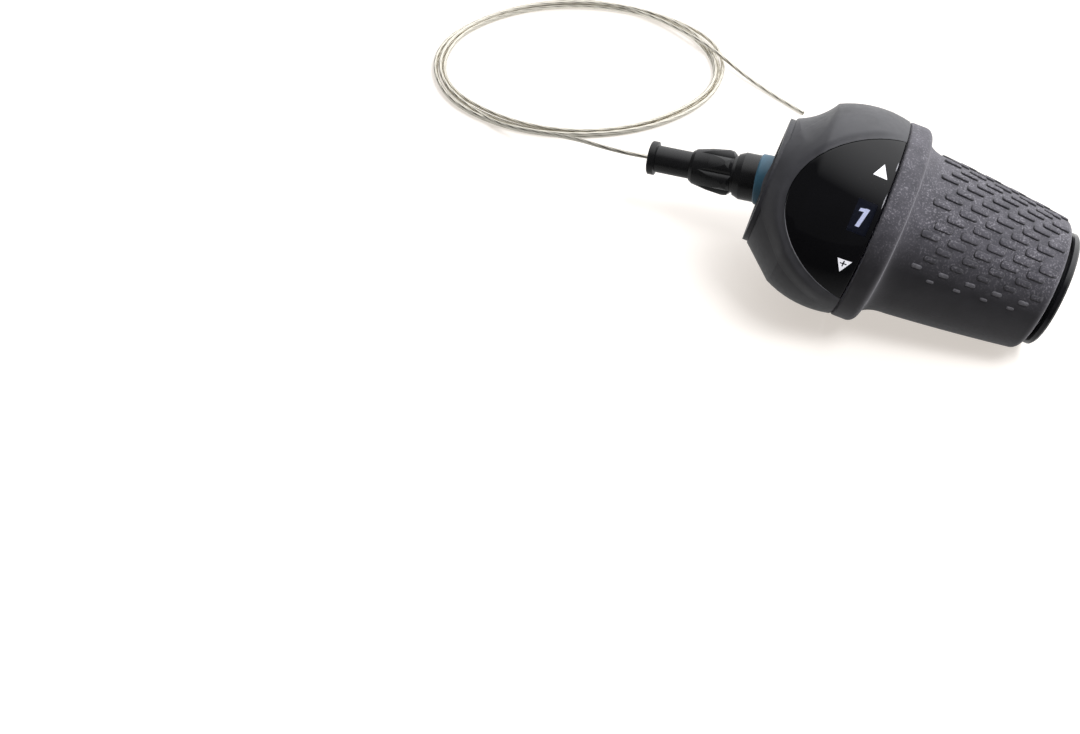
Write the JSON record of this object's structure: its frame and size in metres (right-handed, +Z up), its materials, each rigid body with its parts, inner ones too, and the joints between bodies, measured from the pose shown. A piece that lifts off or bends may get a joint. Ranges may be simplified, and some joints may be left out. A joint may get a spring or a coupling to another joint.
{
  "type": "bicycle twist-grip shifter",
  "caption": "Twist-grip gear shifter for a bicycle handlebar, with a domed housing, number window, rubber grip, cable adjuster and a coiled inner wire.",
  "frame": {"origin": "on the axis of the handlebar bore, in the plane of the seam between housing and grip; the part lies on a table at z = -27.1 mm, leaning on the grip's flange and tip", "axes": "+X along the handlebar axis towards the grip end, which dips 12.1 degrees; +Z up from the table; the indicator window faces up and towards -Y"},
  "size_m": [0.2067, 0.1533, 0.056],
  "materials": {
    "housing_plastic": "satin moulded, dark charcoal",
    "dark_nylon": "matt moulded",
    "window_plastic": "high gloss, smoked",
    "plate_plastic": "satin moulded",
    "screw_steel": "zinc plated",
    "spring_steel": "bright rolled",
    "pale_nylon": "natural acetal",
    "adjuster_plastic": "satin moulded, black",
    "blue_ring": "satin, light blue",
    "gloss_black": "gloss",
    "grip_rubber": "moulded, stippled",
    "drum_plastic": "matt black with white numbers",
    "wire_steel": "stranded, galvanised"
  },
  "bodies": {
    "housing": {"base_tube": "dark_nylon", "housing_shell": "housing_plastic", "window_lens": "window_plastic", "end_plate": "plate_plastic", "plate_screws": "screw_steel", "clamp_bolt": "screw_steel", "clamp_nut": "screw_steel", "thrust_washer": "spring_steel", "detent_spring": "spring_steel", "cable_guide": "pale_nylon", "adjuster_collar": "adjuster_plastic", "collar_ring": "blue_ring", "end_ring": "gloss_black", "inner_cable": "wire_steel", "wire_lead": "wire_steel", "wire_coil": "wire_steel", "wire_tail": "wire_steel"},
    "grip": {"grip_sleeve": "dark_nylon", "rubber_grip": "grip_rubber", "number_drum": "drum_plastic", "detent_ring": "pale_nylon", "winding_pulley": "dark_nylon", "cable_nipple": "wire_steel"},
    "knob": {"adjusting_knob": "adjuster_plastic"},
    "socket": {"casing_socket": "adjuster_plastic"}
  },
  "joints": [
    {"name": "grip_turn", "type": "hinge", "parent": "housing", "child": "grip", "pos_m": [0, 0, 0], "axis": [0.9778, 0, -0.2096], "range_deg": [0, 150], "deforming": ["detent_spring"]},
    {"name": "knob_turn", "type": "hinge", "parent": "housing", "child": "knob", "pos_m": [-0.0465, 0.0155, -0.006], "axis": [1, 0, 0], "range_deg": [0, 1800]},
    {"name": "socket_slide", "type": "slide", "parent": "housing", "child": "socket", "axis": [-1, 0, 0], "range_m": [0, 0.005]}
  ],
  "couplings": [
    {"joint": "knob_turn", "follows": "socket_slide", "rad_per_m": 6283.2}
  ]
}
